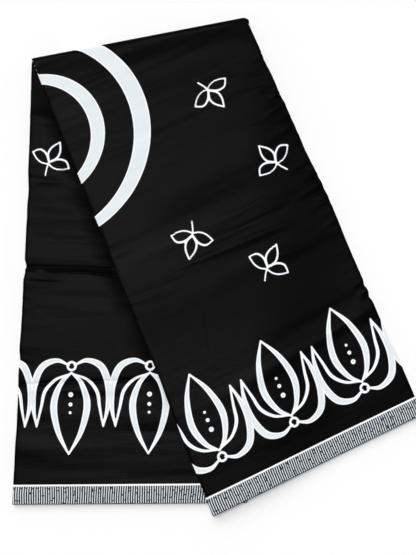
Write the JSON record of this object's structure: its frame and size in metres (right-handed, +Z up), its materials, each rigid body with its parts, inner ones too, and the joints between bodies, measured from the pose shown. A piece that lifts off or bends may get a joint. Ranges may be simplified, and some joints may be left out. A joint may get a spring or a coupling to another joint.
{
  "type": "folded length of african wax print fabric",
  "caption": "Long printed cotton cloth, fan-folded into a strip and turned over once at a slant, so that it lies flat as a shallow V for display or storage.",
  "frame": {"origin": "middle of the folded cloth's box, on the surface that it lies on", "axes": "+X to the right across the two legs, +Y up the legs towards the turn, +Z up from the surface"},
  "size_m": [0.5042, 0.637, 0.0137],
  "materials": {
    "printed_cotton": "black wax print cotton with a cool white resist print and a glazed, softly shining finish",
    "folded_cotton": "the same cotton seen at its folds and selvedges, duller than the glazed face"
  },
  "bodies": {
    "root": {"under_leg_layers": "folded_cotton", "inner_panel": "printed_cotton", "turn_layers": "folded_cotton", "over_leg_layers": "folded_cotton", "outer_panel": "printed_cotton"}
  },
  "joints": []
}
